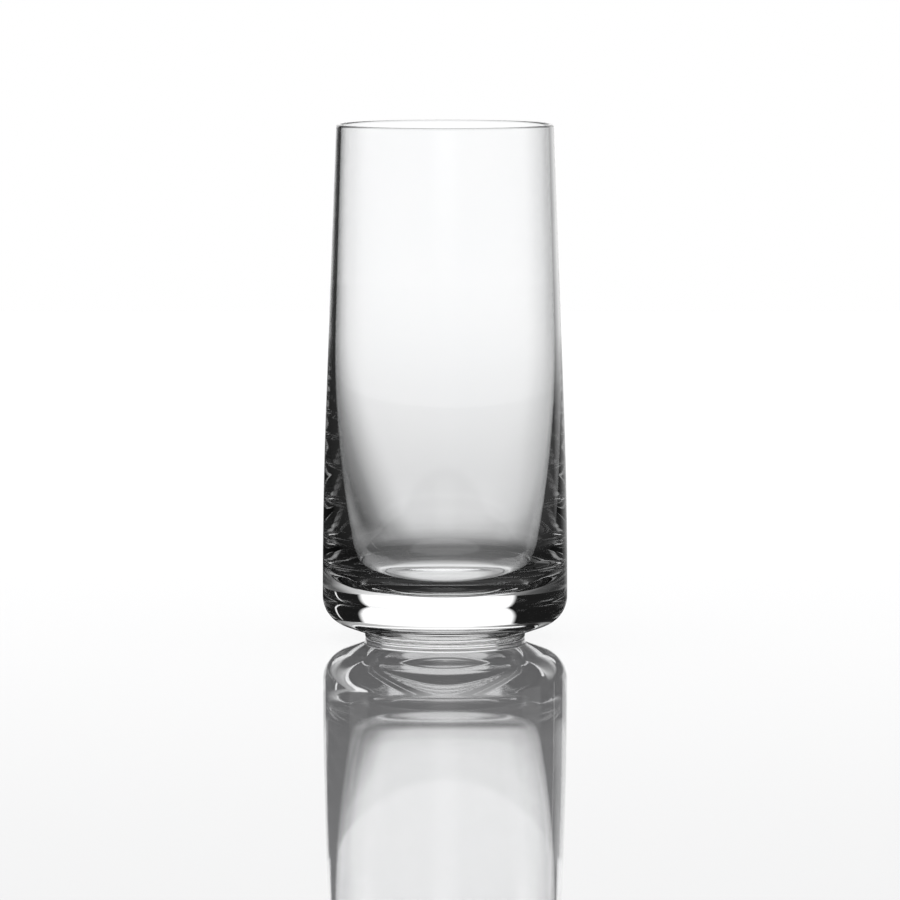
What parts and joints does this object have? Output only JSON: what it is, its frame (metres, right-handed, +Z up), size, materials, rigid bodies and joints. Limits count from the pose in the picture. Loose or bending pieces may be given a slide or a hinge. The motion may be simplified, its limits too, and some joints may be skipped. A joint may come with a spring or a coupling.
{
  "type": "highball glass",
  "caption": "Tall clear drinking glass: gently tapered wall narrowing to the rim, heavy solid base with a rounded lower edge, standing on a short foot.",
  "frame": {"origin": "centre of the foot's resting plane, on the table", "axes": "+Z up along the glass's axis towards the rim; X and Y are alike, as the glass is round"},
  "size_m": [0.069, 0.069, 0.145],
  "materials": {
    "clear_glass": "fire-polished clear glass"
  },
  "bodies": {
    "root": {"tumbler": "clear_glass"}
  },
  "joints": []
}
